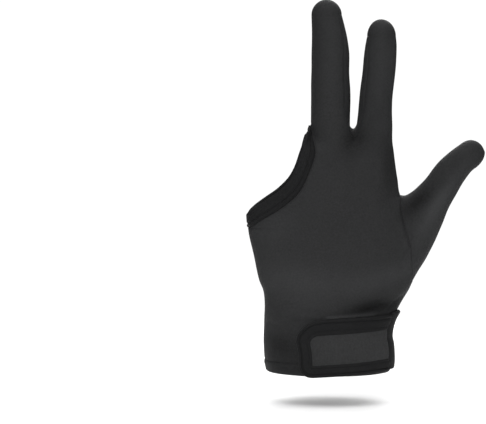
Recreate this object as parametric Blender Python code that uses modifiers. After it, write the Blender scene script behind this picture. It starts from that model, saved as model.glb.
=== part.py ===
"""A heat resistant styling glove for the thumb and two fingers, filled out as if worn.

+Z runs from the wrist to the fingertips, the back of the hand faces -Y and the thumb points
towards +X. The origin is the middle of the wrist opening.

The glove's outer surface is one quilt of points worked out from the tables below. Each cloth
piece owns some of its faces. Its wall is offset along the normals of the whole quilt, so that
the walls of two pieces meet in a mitre along the seam between them.
"""

import math

import bmesh
import bpy
import numpy as np

# Hand sizes, in metres and degrees
FORK_HEIGHT = 0.1468
PALM_WIDTH = 0.100
PALM_DEPTH = 0.030
FORK_OFFSET = 0.0145
WEB_DROP = 0.0050
WEB_DEPTH = 0.0170
WEB_FLARE = 0.0200
WEB_RADIUS = 0.0020
MIDDLE_LENGTH = 0.0780
MIDDLE_WIDTH = 0.0237
MIDDLE_DEPTH = 0.0190
INDEX_LENGTH = 0.0662
INDEX_WIDTH = 0.0216
INDEX_DEPTH = 0.0180
FINGER_BEND = 0.0040
THUMB_LENGTH = 0.0721
THUMB_WIDTH = 0.0200
THUMB_DEPTH = 0.0190
THUMB_LEAN = 0.0080
THUMB_ANGLE = 48.8
OPENING_RISE = 0.0024
HEM_SAG = 0.0012

# Cloth sizes
CLOTH = 0.0012
SEAM_GAP = 0.0003
BINDING_THICKNESS = 0.0020
BINDING_PROUD = 0.0004
HEM_WIDTH = 0.0062
HEM_THICKNESS = 0.0018
HEM_PROUD = 0.0003
HEM_SAG_REACH = 0.0186

# Strap sizes
STRAP_LENGTH = 0.0590
STRAP_WIDTH = 0.0325
STRAP_OVERHANG = 0.0020
STRAP_TILT = 3.5
STRAP_TOP_RADIUS = 0.0130
STRAP_LOW_RADIUS = 0.0075
STRAP_THICKNESS = 0.0016
STRAP_EDGE_WIDTH = 0.0065
STRAP_EDGE_THICKNESS = 0.0022
STRAP_CLEARANCE = 0.0003
ROOT_BAND_FRONT = 0.0070
ROOT_BAND_BACK = 0.0045
ROOT_BAND_HEIGHT = 0.0340
ROOT_BAND_START = 0.0015
ROOT_BAND_THICKNESS = 0.0018

# Facets
BACK_STEPS_MIDDLE = 10
BACK_STEPS_INDEX = 8
FOURCHETTE_STEPS = 6
FINGER_ROWS = 10
DOME_ROWS = 3
ROW_STEP = 0.0056
BINDING_STEPS = 3
CUFF_STEPS = 90
STRAP_STEPS = 10
STRAP_ROUND_STEPS = 4
STRAP_FACE_ROWS = 6
STRAP_EDGE_ROWS = 3
ROOT_BAND_ROWS = 7
ROOT_BAND_STEPS = 5
SHARP_ANGLE = 50.0
SAME = 1e-6

# Shares that shape the fork
WEB_SHARPNESS = 3.0
SIDE_SHARPNESS = 3.0
ROW_CROWDING = 1.6
BLEND_START = 0.90

# Trunk sections. Height is a share of FORK_HEIGHT, the little-finger and thumb edges are shares
# of PALM_WIDTH, the two depths are shares of PALM_DEPTH, and squareness is an exponent.
TRUNK = [
    # height, little edge, thumb edge, back, palm, squareness
    (0.000, -0.381, 0.375, 0.750, 0.750, 2.10),
    (0.037, -0.392, 0.380, 0.750, 0.750, 2.10),
    (0.100, -0.394, 0.376, 0.733, 0.733, 2.10),
    (0.141, -0.395, 0.366, 0.707, 0.717, 2.15),
    (0.204, -0.397, 0.385, 0.677, 0.717, 2.20),
    (0.266, -0.394, 0.433, 0.640, 0.733, 2.25),
    (0.328, -0.401, 0.485, 0.607, 0.750, 2.30),
    (0.366, -0.421, 0.509, 0.587, 0.750, 2.35),
    (0.445, -0.449, 0.573, 0.553, 0.717, 2.40),
    (0.523, -0.476, 0.598, 0.527, 0.650, 2.45),
    (0.598, -0.495, 0.561, 0.500, 0.583, 2.50),
    (0.652, -0.506, 0.506, 0.483, 0.540, 2.50),
    (0.723, -0.500, 0.432, 0.467, 0.500, 2.50),
    (0.794, -0.476, 0.415, 0.447, 0.463, 2.50),
    (0.860, -0.433, 0.401, 0.427, 0.433, 2.50),
    (0.910, -0.366, 0.393, 0.410, 0.413, 2.45),
    (0.951, -0.262, 0.387, 0.397, 0.400, 2.35),
    (1.000, -0.110, 0.382, 0.383, 0.383, 2.20),
]

# Finger sections. Along is a share of the finger's length above the web, the outer and inner
# edges are shares of its width, measured from the middle of the web, half depth is a share of
# its depth, and seam is the seam's angle in degrees from the inner side.
MIDDLE = [
    # along, outer edge, inner edge, half depth, seam
    (0.000, 1.075, 0.075, 0.605, 45.0),
    (0.143, 1.075, 0.075, 0.558, 45.0),
    (0.325, 1.075, 0.082, 0.521, 45.0),
    (0.556, 1.072, 0.101, 0.500, 45.0),
    (0.677, 1.072, 0.144, 0.484, 40.0),
    (0.798, 1.070, 0.232, 0.458, 30.0),
    (0.879, 1.067, 0.291, 0.426, 20.0),
]
INDEX = [
    # along, outer edge, inner edge, half depth, seam
    (0.000, 1.082, 0.082, 0.639, 45.0),
    (0.169, 1.082, 0.136, 0.578, 45.0),
    (0.411, 1.138, 0.215, 0.539, 45.0),
    (0.582, 1.192, 0.268, 0.511, 42.0),
    (0.753, 1.226, 0.328, 0.489, 32.0),
    (0.841, 1.203, 0.376, 0.467, 22.0),
]
FINGER_SQUARENESS = 2.1

# Thumb seam on the trunk. Height is a share of FORK_HEIGHT and both edges are shares of
# PALM_WIDTH. Its two ends lie on the trunk's thumb edge.
THUMB_SEAM = [
    # height, back edge, palm edge
    (0.366, 0.509, 0.509),
    (0.388, 0.507, 0.512),
    (0.449, 0.504, 0.520),
    (0.496, 0.497, 0.522),
    (0.540, 0.478, 0.512),
    (0.607, 0.450, 0.490),
    (0.656, 0.434, 0.470),
    (0.695, 0.431, 0.452),
    (0.723, 0.432, 0.432),
]

# Thumb sections. Both ends of each section are given along the thumb, as shares of THUMB_LENGTH,
# and across it, as shares of THUMB_WIDTH. The depths are shares of THUMB_DEPTH and the shift
# towards the palm a share of THUMB_LEAN.
THUMB = [
    # upper along, upper across, lower along, lower across, back, palm, lean
    (0.262, 0.893, -0.135, -0.926, 0.640, 0.700, 0.10),
    (0.318, 0.806, -0.013, -0.865, 0.640, 0.690, 0.20),
    (0.398, 0.755, 0.126, -0.751, 0.621, 0.647, 0.30),
    (0.487, 0.731, 0.274, -0.569, 0.589, 0.600, 0.40),
    (0.592, 0.758, 0.414, -0.410, 0.547, 0.558, 0.50),
    (0.696, 0.763, 0.557, -0.282, 0.516, 0.521, 0.60),
    (0.792, 0.720, 0.688, -0.195, 0.489, 0.489, 0.70),
    (0.878, 0.648, 0.791, -0.172, 0.458, 0.458, 0.80),
    (0.944, 0.573, 0.853, -0.220, 0.405, 0.405, 0.87),
    (0.984, 0.456, 0.903, -0.225, 0.326, 0.326, 0.93),
    (1.005, 0.278, 0.949, -0.184, 0.205, 0.205, 0.97),
    (1.005, 0.105, 0.984, -0.096, 0.095, 0.095, 1.00),
]
THUMB_SQUARENESS = 2.1

# Opening for the ring and little finger. Heights are shares of FORK_HEIGHT and edges are shares
# of PALM_WIDTH, for the seam line on the trunk and for the free rim of the binding.
OPENING = [
    # seam height, seam edge, rim height, rim edge
    (0.585, -0.494, 0.642, -0.500),
    (0.625, -0.412, 0.675, -0.445),
    (0.655, -0.336, 0.706, -0.381),
    (0.692, -0.260, 0.737, -0.314),
    (0.725, -0.205, 0.767, -0.265),
    (0.759, -0.167, 0.794, -0.232),
    (0.814, -0.129, 0.837, -0.199),
    (0.888, -0.091, 0.898, -0.169),
    (0.944, -0.085, 0.943, -0.146),
    (0.975, -0.092, 0.968, -0.134),
    (1.000, -0.110, 1.004, -0.123),
]

# Folds and hollows of the stretched cloth. Side is -1 for the back and 1 for the palm, the
# centre's edge and height are shares of PALM_WIDTH and FORK_HEIGHT, reach and spread are
# half-lengths along and across the fold as shares of PALM_WIDTH, turn is its slope in degrees
# and rise is a share of CLOTH.
FOLDS = [
    # side, edge, height, reach, spread, turn, rise
    (-1, -0.24, 0.225, 0.20, 0.050, -7.0, 0.9),
    (-1, -0.33, 0.150, 0.14, 0.060, -12.0, -1.0),
    (-1, 0.33, 0.275, 0.15, 0.050, 17.0, -1.6),
    (-1, 0.05, 0.400, 0.36, 0.090, -4.0, 1.0),
    (1, -0.26, 0.535, 0.14, 0.060, 12.0, 1.1),
    (1, -0.42, 0.445, 0.10, 0.060, 20.0, -0.9),
    (1, -0.40, 0.320, 0.10, 0.060, -14.0, -0.9),
    (1, 0.36, 0.250, 0.16, 0.060, 24.0, -1.2),
]

# Colours and roughness
BLACK_KNIT = (0.030, 0.031, 0.034, 1.0)
BLACK_EDGE = (0.016, 0.017, 0.019, 1.0)
GREY_LOOP = (0.050, 0.051, 0.054, 1.0)
KNIT_ROUGHNESS = 0.75
EDGE_ROUGHNESS = 0.80
LOOP_ROUGHNESS = 0.95


def spline(table, column, share):
    """One column of a table at a share of its first column, on a smooth curve."""
    share = min(max(share, table[0][0]), table[-1][0])
    cell = 0
    while share > table[cell + 1][0]:
        cell += 1
    slopes = []
    for row in (cell, cell + 1):
        before, after = table[max(row - 1, 0)], table[min(row + 1, len(table) - 1)]
        slopes.append((after[column] - before[column]) / (after[0] - before[0]))
    width = table[cell + 1][0] - table[cell][0]
    part = (share - table[cell][0]) / width
    rest = 1.0 - part
    start = rest * rest * (1.0 + 2.0 * part)
    end = part * part * (3.0 - 2.0 * part)
    lead = part * rest * rest * width
    tail = -part * part * rest * width
    return (start * table[cell][column] + end * table[cell + 1][column]
            + lead * slopes[0] + tail * slopes[1])


def smooth(share):
    """Ease a share from 0 to 1 with level ends."""
    share = min(max(share, 0.0), 1.0)
    return share * share * (3.0 - 2.0 * share)


def blend(first, second, share):
    """The point a share of the way from one point to another."""
    return first + (second - first) * share


def oval(cosine, squareness):
    """Height of a unit superellipse over a share of its half width."""
    return max(1.0 - abs(cosine) ** squareness, 0.0) ** (1.0 / squareness)


def trunk_shape(height):
    """Centre, half width, back depth, palm depth and squareness of the trunk at a height."""
    little = spline(TRUNK, 1, height) * PALM_WIDTH
    thumb = spline(TRUNK, 2, height) * PALM_WIDTH
    back = spline(TRUNK, 3, height) * PALM_DEPTH
    palm = spline(TRUNK, 4, height) * PALM_DEPTH
    squareness = spline(TRUNK, 5, height)
    return (little + thumb) / 2.0, (thumb - little) / 2.0, back, palm, squareness


def trunk_point(height, cosine, side):
    """A point of the trunk's section, on the back (side -1) or on the palm (side 1)."""
    centre, half, back, palm, squareness = trunk_shape(height)
    cosine = min(max(cosine, -1.0), 1.0)
    depth = palm if side > 0 else back
    sag = HEM_SAG * oval(cosine, squareness) * (1.0 - smooth(height * FORK_HEIGHT / HEM_SAG_REACH))
    return np.array([centre + half * cosine,
                     side * depth * oval(cosine, squareness),
                     height * FORK_HEIGHT - sag])


def edge_angle(height, edge):
    """The section angle at which the trunk reaches an X position."""
    centre, half = trunk_shape(height)[:2]
    return math.acos(min(max((edge - centre) / half, -1.0), 1.0))


def finger_point(finger, rise, angle, side):
    """A point of a finger's section at a height above the web."""
    table, length, width, depth, direction = finger
    along = rise / length
    outer = FORK_OFFSET + direction * spline(table, 1, along) * width
    inner = FORK_OFFSET + direction * spline(table, 2, along) * width
    centre = (outer + inner) / 2.0
    half = abs(outer - inner) / 2.0
    cosine = math.cos(math.radians(angle))
    thick = spline(table, 3, along) * depth
    bend = FINGER_BEND * along * along
    return np.array([centre - direction * half * cosine,
                     side * thick * oval(cosine, FINGER_SQUARENESS) + bend,
                     FORK_HEIGHT + rise])


MIDDLE_FINGER = (MIDDLE, MIDDLE_LENGTH, MIDDLE_WIDTH, MIDDLE_DEPTH, -1.0)
INDEX_FINGER = (INDEX, INDEX_LENGTH, INDEX_WIDTH, INDEX_DEPTH, 1.0)


def web_point(share, rise):
    """A point of the web's crest, from the back seam (share 0) to the palm seam (share 1)."""
    reach = -math.cos(math.pi * share)
    return np.array([FORK_OFFSET,
                     reach * WEB_DEPTH / 2.0,
                     FORK_HEIGHT + rise - WEB_DROP * reach * reach])


def finger_body_point(finger, rise, share, side):
    """A body point of a finger, from its outer edge (share 0) to its side seam (share 1)."""
    seam = spline(finger[0], 4, rise / finger[1])
    point = finger_point(finger, rise, 180.0 - (180.0 - seam) * share, side)
    rest = max(1.0 - rise / WEB_FLARE, 0.0) ** WEB_SHARPNESS
    seam_point = finger_point(finger, rise, seam, side)
    pull = web_point(0.0 if side < 0 else 1.0, rise) - seam_point
    point = point + pull * rest * share ** SIDE_SHARPNESS
    if finger is MIDDLE_FINGER:
        point = point + np.array([0.0, 0.0, OPENING_RISE * rest * (1.0 - share) ** 2])
    return point


def fourchette_point(finger, rise, share):
    """A point of the inner side strip, from the back seam (share 0) to the palm seam."""
    seam = spline(finger[0], 4, rise / finger[1])
    turn = seam * (1.0 - 2.0 * share)
    point = finger_point(finger, rise, abs(turn), -1.0 if turn > 0 else 1.0)
    crown = 2.0 * share - 1.0
    reach = WEB_RADIUS + (WEB_FLARE - WEB_RADIUS) * crown * crown
    rest = max(1.0 - rise / reach, 0.0) ** WEB_SHARPNESS
    return blend(point, web_point(share, rise), rest)


class Quilt:
    """The glove's outer surface: one pool of points, and the faces of each piece."""

    def __init__(self):
        self.points = []
        self.faces = {}

    def add(self, point):
        """Store a point and return its number."""
        self.points.append(np.array(point, dtype=float))
        return len(self.points) - 1

    def patch(self, piece, grid):
        """Give a piece the faces of a grid of point numbers, front side facing out."""
        faces = self.faces.setdefault(piece, [])
        for lower, upper in zip(grid, grid[1:]):
            for corners in zip(lower, lower[1:], upper[1:], upper):
                face = list(dict.fromkeys(corners))
                if len(face) > 2:
                    faces.append(face)

    def normals(self):
        """Area-weighted normals of the whole surface."""
        points = np.array(self.points)
        normals = np.zeros_like(points)
        for faces in self.faces.values():
            for face in faces:
                corners = points[face]
                spread = np.cross(corners - corners[0], np.roll(corners, -1, axis=0) - corners[0])
                normals[face] += spread.sum(axis=0)
        return normals / np.linalg.norm(normals, axis=1)[:, None]


def row_heights():
    """Heights of the trunk's rows as shares, with rows on every seam's ends."""
    stations = [0.0, HEM_WIDTH / FORK_HEIGHT, THUMB_SEAM[0][0], OPENING[0][0], THUMB_SEAM[-1][0], 1.0]
    heights = [0.0]
    for start, end in zip(stations, stations[1:]):
        count = max(2, round((end - start) * FORK_HEIGHT / ROW_STEP))
        heights += [start + (end - start) * step / count for step in range(1, count + 1)]
    return heights


def trunk_angles(height, side):
    """Section angles of the trunk's columns on one side, from the little-finger edge."""
    start = math.pi
    if height > OPENING[0][0]:
        start = edge_angle(height, spline(OPENING, 1, height) * PALM_WIDTH)
    end = 0.0
    if THUMB_SEAM[0][0] < height < THUMB_SEAM[-1][0]:
        end = edge_angle(height, spline(THUMB_SEAM, 1 if side < 0 else 2, height) * PALM_WIDTH)
    fork = edge_angle(height, FORK_OFFSET * height)
    return np.concatenate([np.linspace(start, fork, BACK_STEPS_MIDDLE + 1),
                           np.linspace(fork, end, BACK_STEPS_INDEX + 1)[1:]])


def fork_row(side):
    """The trunk's top row on one side, which is also the first row of both fingers."""
    middle = [finger_body_point(MIDDLE_FINGER, 0.0, step / BACK_STEPS_MIDDLE, side)
              for step in range(BACK_STEPS_MIDDLE + 1)]
    index = [finger_body_point(INDEX_FINGER, 0.0, 1.0 - step / BACK_STEPS_INDEX, side)
             for step in range(1, BACK_STEPS_INDEX + 1)]
    return middle + index


def trunk_row(height, side):
    """Points of one trunk row on one side, easing into the two fingers near the fork."""
    top = fork_row(side)
    if height >= 1.0:
        return top
    share = smooth((height - BLEND_START) / (1.0 - BLEND_START))
    drop = np.array([0.0, 0.0, (height - 1.0) * FORK_HEIGHT])
    angles = trunk_angles(height, side)
    return [blend(trunk_point(height, math.cos(angle), side), end + drop, share)
            for angle, end in zip(angles, top)]


def add_trunk(quilt):
    """Lay the trunk's rows and return the point numbers of its back and palm sides."""
    back_rows = []
    palm_rows = []
    for height in row_heights():
        back = [quilt.add(point) for point in trunk_row(height, -1.0)]
        palm_points = trunk_row(height, 1.0)
        in_opening = OPENING[0][0] + SAME < height < 1.0 - SAME
        in_thumb = THUMB_SEAM[0][0] + SAME < height < THUMB_SEAM[-1][0] - SAME
        palm = [quilt.add(palm_points[0]) if in_opening else back[0]]
        palm += [quilt.add(point) for point in palm_points[1:-1]]
        palm += [quilt.add(palm_points[-1]) if in_thumb else back[-1]]
        back_rows.append(back)
        palm_rows.append(palm)
    hem_rows = 1 + max(2, round(HEM_WIDTH / ROW_STEP))
    for piece, rows in (("wrist_hem", slice(0, hem_rows)), ("glove_body", slice(hem_rows - 1, None))):
        quilt.patch(piece, back_rows[rows])
        quilt.patch(piece, [row[::-1] for row in palm_rows[rows]])
    return back_rows, palm_rows


def add_finger(quilt, finger, first_back, first_palm, first_web):
    """Lay one finger above the fork row, with its side strip and its domed tip."""
    table, length, direction = finger[0], finger[1], finger[4]
    steps = len(first_back) - 1
    straight = table[-1][0] * length
    rows = [(first_back, first_web, first_palm)]
    for step in range(1, FINGER_ROWS + 1):
        rise = straight * (step / FINGER_ROWS) ** ROW_CROWDING
        back = [quilt.add(finger_body_point(finger, rise, column / steps, -1.0))
                for column in range(steps + 1)]
        palm = [quilt.add(finger_body_point(finger, rise, column / steps, 1.0))
                for column in range(1, steps + 1)]
        web = [quilt.add(fourchette_point(finger, rise, column / FOURCHETTE_STEPS))
               for column in range(1, FOURCHETTE_STEPS)]
        palm = [back[0]] + palm
        rows.append((back, [back[-1]] + web + [palm[-1]], palm))
    order = 1 if direction < 0 else -1
    quilt.patch("glove_body", [row[0][::order] for row in rows])
    quilt.patch("glove_body", [row[2][::-order] for row in rows])
    quilt.patch("finger_fourchette", [row[1][::order] for row in rows])
    back, web, palm = rows[-1]
    ring = back + web[1:-1] + palm[::-1]
    base = np.array([quilt.points[number] for number in ring])
    middle = (base[0] + base[len(back) + len(web) // 2 - 1]) / 2.0
    dome = [ring]
    for step in range(1, DOME_ROWS + 1):
        turn = math.pi / 2.0 * step / (DOME_ROWS + 1)
        lift = np.array([0.0, 0.0, (length - straight) * math.sin(turn)])
        level = [quilt.add(middle + (point - middle) * math.cos(turn) + lift) for point in base[:-1]]
        dome.append(level + [level[0]])
    tip = quilt.add(middle + np.array([0.0, 0.0, length - straight]))
    dome.append([tip] * len(ring))
    quilt.patch("glove_body", [row[::order] for row in dome])


def add_thumb(quilt, back_rows, palm_rows):
    """Lay the thumb's rings out from its seam loop on the trunk."""
    heights = row_heights()
    zone = [row for row, height in enumerate(heights)
            if THUMB_SEAM[0][0] - SAME < height < THUMB_SEAM[-1][0] + SAME]
    back = [back_rows[row][-1] for row in reversed(zone)]
    palm = [palm_rows[row][-1] for row in zone]
    loop = back + palm[1:-1]
    count = len(loop)
    root = (quilt.points[back[0]] + quilt.points[back[-1]]) / 2.0
    angle = math.radians(THUMB_ANGLE)
    along_axis = np.array([math.cos(angle), 0.0, math.sin(angle)])
    across_axis = np.array([-math.sin(angle), 0.0, math.cos(angle)])
    rings = [loop]
    for upper_along, upper_across, lower_along, lower_across, back_depth, palm_depth, lean in THUMB:
        upper = root + along_axis * upper_along * THUMB_LENGTH + across_axis * upper_across * THUMB_WIDTH
        lower = root + along_axis * lower_along * THUMB_LENGTH + across_axis * lower_across * THUMB_WIDTH
        centre = (upper + lower) / 2.0 + np.array([0.0, lean * THUMB_LEAN, 0.0])
        ring = []
        for column in range(count):
            turn = 2.0 * math.pi * column / count
            depth = -back_depth if turn < math.pi else palm_depth
            reach = oval(math.cos(turn), THUMB_SQUARENESS) * depth * THUMB_DEPTH
            point = centre + (upper - lower) / 2.0 * math.cos(turn) + np.array([0.0, reach, 0.0])
            ring.append(quilt.add(point))
        rings.append(ring)
    tip = quilt.add(np.mean([quilt.points[number] for number in rings[-1]], axis=0))
    rings.append([tip] * count)
    quilt.patch("thumb", [[*ring, ring[0]] for ring in rings])


def rim_point(height, side):
    """The binding's free rim beside the seam at a height, on the trunk's own surface."""
    rim_height = spline(OPENING, 2, height)
    rim_edge = spline(OPENING, 3, height) * PALM_WIDTH
    level = min(rim_height, 1.0)
    centre, half = trunk_shape(level)[:2]
    point = trunk_point(level, (rim_edge - centre) / half, side)
    return np.array([rim_edge, point[1], rim_height * FORK_HEIGHT])


def add_opening_binding(quilt, back_rows, palm_rows):
    """Lay the band from the opening's seam out to its free rim."""
    heights = row_heights()
    zone = [row for row, height in enumerate(heights) if height > OPENING[0][0] - SAME]
    columns = [(back_rows[row][0], heights[row], -1.0) for row in zone]
    columns += [(palm_rows[row][0], heights[row], 1.0) for row in reversed(zone[1:-1])]
    band = []
    for seam, height, side in columns:
        start = quilt.points[seam]
        end = rim_point(height, side if height < 1.0 and height > OPENING[0][0] else 0.0)
        column = [seam]
        for step in range(1, BINDING_STEPS + 1):
            column.append(quilt.add(blend(start, end, step / BINDING_STEPS)))
        band.append(column)
    band.append(band[0])
    quilt.patch("finger_opening_binding", list(zip(*band)))


def under_strap(point):
    """How far a point lies under the strap, from 0 to 1."""
    free_end = strap_place(STRAP_LENGTH, STRAP_WIDTH)
    beside = smooth(1.0 + (point[0] - free_end[0]) / STRAP_TOP_RADIUS)
    below = smooth(1.0 + (free_end[2] - point[2]) / STRAP_TOP_RADIUS)
    return beside * below if point[1] < 0.0 else 0.0


def add_folds(quilt):
    """Push the surface out or in along its normals where the cloth folds."""
    normals = quilt.normals()
    for number, point in enumerate(quilt.points):
        push = 0.0
        for side, edge, height, reach, spread, turn, rise in FOLDS:
            if normals[number][1] * side < 0.0:
                continue
            offset = np.array([point[0] - edge * PALM_WIDTH, point[2] - height * FORK_HEIGHT])
            angle = math.radians(turn)
            along = (offset[0] * math.cos(angle) + offset[1] * math.sin(angle)) / (reach * PALM_WIDTH)
            across = (offset[1] * math.cos(angle) - offset[0] * math.sin(angle)) / (spread * PALM_WIDTH)
            facing = abs(normals[number][1])
            push += rise * CLOTH * facing * math.exp(-along * along - across * across)
        push *= 1.0 - under_strap(point)
        quilt.points[number] = point + normals[number] * push


def boundary(faces):
    """Edges of a set of faces that only one of them has, as pairs in face order."""
    edges = {}
    for face in faces:
        for start, end in zip(face, face[1:] + face[:1]):
            edges[(start, end)] = True
    return [(start, end) for start, end in edges if (end, start) not in edges]


def seam_insets(quilt, piece, normals):
    """Moves that draw a piece back from its seams by half the seam gap."""
    faces = quilt.faces[piece]
    edges = boundary(faces)
    points = np.array(quilt.points)
    run = {}
    for start, end in edges:
        along = points[end] - points[start]
        run[start] = run.get(start, 0.0) + along
        run[end] = run.get(end, 0.0) + along
    own = mean_centres(points, faces, run)
    others = [face for name, rest in quilt.faces.items() if name != piece for face in rest]
    beyond = mean_centres(points, others, run)
    moves = {}
    for number in beyond:
        direction = own[number] - beyond[number]
        for axis in (normals[number], run[number]):
            unit = axis / max(np.linalg.norm(axis), 1e-9)
            direction = direction - unit * direction.dot(unit)
        moves[number] = direction / max(np.linalg.norm(direction), 1e-9) * SEAM_GAP / 2.0
    return moves, edges


def mean_centres(points, faces, numbers):
    """For each numbered point, the mean centre of the faces that meet there."""
    centres = {}
    for face in faces:
        centre = points[face].mean(axis=0)
        for number in face:
            if number in numbers:
                centres.setdefault(number, []).append(centre)
    return {number: np.mean(found, axis=0) for number, found in centres.items()}


def make_material(name, colour, roughness):
    """A plain cloth material."""
    material = bpy.data.materials.new(name)
    material.use_nodes = True
    shader = material.node_tree.nodes["Principled BSDF"]
    shader.inputs["Base Color"].default_value = colour
    shader.inputs["Roughness"].default_value = roughness
    shader.inputs["Metallic"].default_value = 0.0
    material.diffuse_color = colour
    return material


def make_object(name, points, faces, colour, roughness):
    """An object from points and faces, smooth but for its sharp edges."""
    mesh = bpy.data.meshes.new(name)
    mesh.from_pydata([tuple(point) for point in points], [], faces)
    mesh.materials.append(make_material(name, colour, roughness))
    mesh.shade_smooth()
    mesh.set_sharp_from_angle(angle=math.radians(SHARP_ANGLE))
    piece = bpy.data.objects.new(name, mesh)
    GLOVE.objects.link(piece)
    return piece


def make_wall(quilt, piece, normals, proud, thickness, colour, roughness):
    """A closed wall round one piece's faces: outer skin, inner skin and the edges between.

    At a seam every piece is as thick as the body's cloth, and an edge is cut into the same two
    triangles on both sides.
    """
    faces = quilt.faces[piece]
    moves, edges = seam_insets(quilt, piece, normals)
    numbers = sorted({number for face in faces for number in face})
    place = {number: position for position, number in enumerate(numbers)}
    count = len(numbers)
    outer = []
    inner = []
    for number in numbers:
        at_seam = number in moves
        point = quilt.points[number] + moves.get(number, 0.0)
        outer.append(point + normals[number] * (0.0 if at_seam else proud))
        inner.append(point - normals[number] * (CLOTH if at_seam else thickness - proud))
    walls = [[place[number] for number in face] for face in faces]
    walls += [[place[number] + count for number in reversed(face)] for face in faces]
    for start, end in edges:
        first, second = place[start], place[end]
        if start < end:
            walls += [[second, first, second + count], [first, first + count, second + count]]
        else:
            walls += [[second, first, first + count], [second, first + count, second + count]]
    return make_object(piece, outer + inner, walls, colour, roughness)


def cuff_point(arc, height, lift):
    """A point above the cuff, an arc length from the thumb edge towards the back."""
    level = max(height, 0.0) / FORK_HEIGHT
    turns = np.linspace(-math.pi / 2.0, math.pi, CUFF_STEPS + 1)
    ring = np.array([trunk_point(level, math.cos(turn), 1.0 if turn < 0.0 else -1.0)[:2]
                     for turn in turns])
    lengths = np.concatenate([[0.0], np.cumsum(np.linalg.norm(np.diff(ring, axis=0), axis=1))])
    lengths -= lengths[CUFF_STEPS // 3]
    run = np.gradient(ring, lengths, axis=0)
    x, y, run_x, run_y = (np.interp(arc, lengths, values) for values in (*ring.T, *run.T))
    size = math.hypot(run_x, run_y)
    return np.array([x - run_y / size * lift, y + run_x / size * lift, height])


def strap_place(along, up):
    """A point of the strap's flat pattern, wrapped round the cuff."""
    slope = math.tan(math.radians(STRAP_TILT))
    height = up - STRAP_OVERHANG + (STRAP_LENGTH - along) * slope
    return cuff_point(ROOT_BAND_FRONT + SEAM_GAP + along, height, HEM_PROUD + STRAP_CLEARANCE)


def strap_half(inset, at_top):
    """Half of the strap's outline, from its root to the middle of its round end."""
    radius = STRAP_TOP_RADIUS if at_top else STRAP_LOW_RADIUS
    radius = max(radius - inset, SEAM_GAP)
    end = STRAP_LENGTH - inset
    level = STRAP_WIDTH - inset if at_top else inset
    inward = -1.0 if at_top else 1.0
    path = [(along, level) for along in np.linspace(0.0, end - radius, STRAP_STEPS + 1)]
    for turn in np.linspace(0.0, math.pi / 2.0, STRAP_ROUND_STEPS + 1)[1:]:
        path.append((end - radius + radius * math.sin(turn),
                     level + inward * radius * (1.0 - math.cos(turn))))
    middle = (STRAP_WIDTH - STRAP_TOP_RADIUS + STRAP_LOW_RADIUS) / 2.0
    path += [(end, blend(path[-1][1], middle, share)) for share in (0.5, 1.0)]
    return path


def shell_from_grid(name, grid, thickness, colour, roughness):
    """A strip of cloth: an open grid of points thickened outwards."""
    rows, columns = len(grid), len(grid[0])
    points = [point for row in grid for point in row]
    faces = []
    for row in range(rows - 1):
        for column in range(columns - 1):
            corner = row * columns + column
            faces.append([corner, corner + 1, corner + columns + 1, corner + columns])
    piece = make_object(name, points, faces, colour, roughness)
    mesh = piece.data
    welded = bmesh.new()
    welded.from_mesh(mesh)
    bmesh.ops.remove_doubles(welded, verts=welded.verts, dist=SAME)
    welded.to_mesh(mesh)
    welded.free()
    wall = piece.modifiers.new("cloth", "SOLIDIFY")
    wall.thickness = thickness
    wall.offset = 1.0
    return piece


def make_strap():
    """The strap's felt-like face."""
    inset = STRAP_EDGE_WIDTH + SEAM_GAP
    low = strap_half(inset, False)[:-2]
    top = strap_half(inset, True)[:-2]
    grid = []
    for share in np.linspace(0.0, 1.0, STRAP_FACE_ROWS + 1):
        row = [(blend(a[0], b[0], share), blend(a[1], b[1], share)) for a, b in zip(low, top)]
        grid.append([strap_place(along, up) for along, up in reversed(row)])
    return shell_from_grid("wrist_strap", grid, STRAP_THICKNESS, GREY_LOOP, LOOP_ROUGHNESS)


def make_strap_binding():
    """The dark binding round the strap's two long edges and its round end."""
    grid = []
    for share in np.linspace(0.0, 1.0, STRAP_EDGE_ROWS + 1):
        inset = STRAP_EDGE_WIDTH * share
        path = strap_half(inset, False) + strap_half(inset, True)[-2::-1]
        grid.append([strap_place(along, up) for along, up in path[::-1]])
    return shell_from_grid("strap_binding", grid, STRAP_EDGE_THICKNESS, BLACK_EDGE, EDGE_ROUGHNESS)


def make_root_band():
    """The upright band on the thumb side that the strap grows out of."""
    grid = []
    arcs = np.linspace(ROOT_BAND_FRONT, -ROOT_BAND_BACK, ROOT_BAND_STEPS + 1)
    end = ROOT_BAND_START + ROOT_BAND_HEIGHT
    for height in np.linspace(ROOT_BAND_START, end, ROOT_BAND_ROWS + 1):
        grid.append([cuff_point(arc, height, HEM_PROUD + STRAP_CLEARANCE) for arc in arcs])
    return shell_from_grid("strap_root_band", grid, ROOT_BAND_THICKNESS, BLACK_EDGE, EDGE_ROUGHNESS)


def make_quilt():
    """The glove's whole outer surface with all folds."""
    quilt = Quilt()
    back_rows, palm_rows = add_trunk(quilt)
    split = BACK_STEPS_MIDDLE
    back, palm = back_rows[-1], palm_rows[-1]
    web = [quilt.add(web_point(column / FOURCHETTE_STEPS, 0.0))
           for column in range(1, FOURCHETTE_STEPS)]
    web = [back[split]] + web + [palm[split]]
    add_finger(quilt, MIDDLE_FINGER, back[:split + 1], palm[:split + 1], web)
    add_finger(quilt, INDEX_FINGER, back[split:][::-1], palm[split:][::-1], web)
    add_thumb(quilt, back_rows, palm_rows)
    add_opening_binding(quilt, back_rows, palm_rows)
    add_folds(quilt)
    return quilt


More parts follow.
